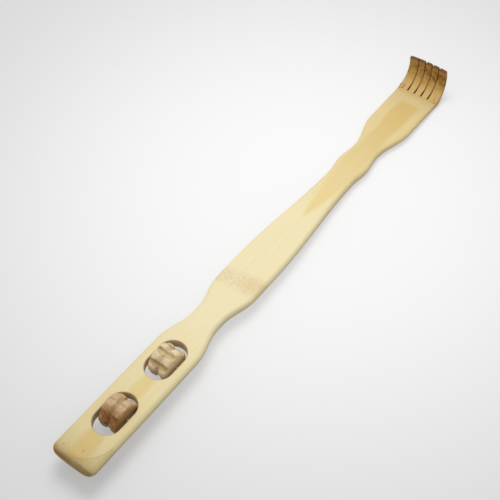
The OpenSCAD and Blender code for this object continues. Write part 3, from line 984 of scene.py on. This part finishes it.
def floor_paper():
    """White paper whose shadows are lifted where it is seen directly, as in a product photograph."""
    n = Nodes("floor_paper")
    where = n.position()
    east, north = n.split(where)[:2]
    away = n.from_place(east, north, GLOW_CENTRE)[2]
    direct = seen_directly(n.tree)
    paper, seen = n.step(away, *GLOW, *PAPER), n.step(away, *GLOW, *SEEN)
    colour = n.mix(direct, n.grey(paper), n.grey(seen))
    cloud = n.noise(where, *PAPER_CLOUD)
    colour = n.tint(colour, n.step(cloud, *CLOUD_SHADE))
    lift = n.plus(n.step(away, *GLOW, *LIFT), n.step(away, *HAZE, 0.0, HAZE_LIFT))
    n.shader.inputs["Emission Color"].default_value = WHITE
    n.feed(n.shader.inputs["Emission Strength"], n.times(direct, lift))
    return n.finish(colour, n.step(cloud, *PAPER_ROUGH), PAPER_SPECULAR)


# Pieces
blade = make_blade()
blade.data.materials.append(bamboo())
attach(blade, "handle")
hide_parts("blade")

rear = make_roller("turned_rear_roller", pins["rear_roll"], REAR_FLUTE_D, REAR_TURN)
rear.data.materials.append(roller_wood("rear_roller_wood", REAR_TONES, REAR_LOOK))
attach(rear, "rear_wheel")
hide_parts("rear_roller")

front = make_roller("turned_front_roller", pins["front_roll"], FRONT_FLUTE_D, FRONT_TURN)
front.data.materials.append(roller_wood("front_roller_wood", FRONT_TONES, FRONT_LOOK))
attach(front, "front_wheel")
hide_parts("front_roller")

pin_bamboo = dowel()
for node, x in (("rear_pin", REAR_PIN_X), ("front_pin", FRONT_PIN_X)):
    pin = make_pin("dowel_" + node, x)
    pin.data.materials.clear()
    pin.data.materials.append(pin_bamboo)
    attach(pin, "handle")
    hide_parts(node)

# Floor
bpy.ops.mesh.primitive_grid_add(x_subdivisions=FLOOR_CELLS, y_subdivisions=FLOOR_CELLS, size=FLOOR_SIZE)
floor = bpy.context.object
floor.name = "floor"
floor.location.z = FLOOR_Z
floor.data.materials.append(floor_paper())

# Light: one soft lamp, and a sky that is white where it is seen directly
LAMP_PLACE, LAMP_AIM = Vector((0.25, 0.2, 0.85)), Vector((0.02, 0.02, 0.0))
LAMP_SIZE, LAMP_WATTS = 0.6, 4.45
SKY_COLOUR, SKY_LIGHT, SKY_SEEN = (0.93, 0.93, 0.94, 1), 0.55, 1.0

key = bpy.data.lights.new("key", "AREA")
key.shape = "DISK"
key.size = LAMP_SIZE
key.energy = LAMP_WATTS
lamp = new_object("key", key)
lamp.location = LAMP_PLACE
lamp.rotation_euler = (LAMP_AIM - LAMP_PLACE).to_track_quat("-Z", "Y").to_euler()

world = bpy.data.worlds.new("studio")
bpy.context.scene.world = world
world.use_nodes = True
sky_tree = world.node_tree
sky = sky_tree.nodes["Background"]
sky.inputs["Color"].default_value = SKY_COLOUR
strength = sky_tree.nodes.new("ShaderNodeMapRange")
strength.inputs["To Min"].default_value = SKY_LIGHT
strength.inputs["To Max"].default_value = SKY_SEEN
sky_tree.links.new(seen_directly(sky_tree), strength.inputs["Value"])
sky_tree.links.new(strength.outputs[0], sky.inputs["Strength"])

# Camera: the photograph's angle
TARGET, DISTANCE = Vector((-17.1, 12.5, 12.0)) * MM, 0.7778
ELEVATION, AZIMUTH, ROLL = math.radians(51.99), math.radians(-141.52), math.radians(2.23)
LENS_MM, SENSOR_MM, CLIP_START = 72, 36, 0.01

cam_data = bpy.data.cameras.new("camera")
cam_data.lens = LENS_MM
cam_data.sensor_width = SENSOR_MM
cam_data.clip_start = CLIP_START
cam = new_object("camera", cam_data)
reach = math.cos(ELEVATION)
to_camera = Vector((reach * math.cos(AZIMUTH), reach * math.sin(AZIMUTH), math.sin(ELEVATION)))
level = Vector((0, 0, 1)).cross(to_camera).normalized()
cam_up = to_camera.cross(level) * math.cos(ROLL) + level * math.sin(ROLL)
cam_right = cam_up.cross(to_camera)
facing = Matrix((cam_right, cam_up, to_camera)).transposed()
cam.matrix_world = Matrix.Translation(TARGET + to_camera * DISTANCE) @ facing.to_4x4()
bpy.context.scene.camera = cam

bpy.context.scene.view_settings.view_transform = "Standard"
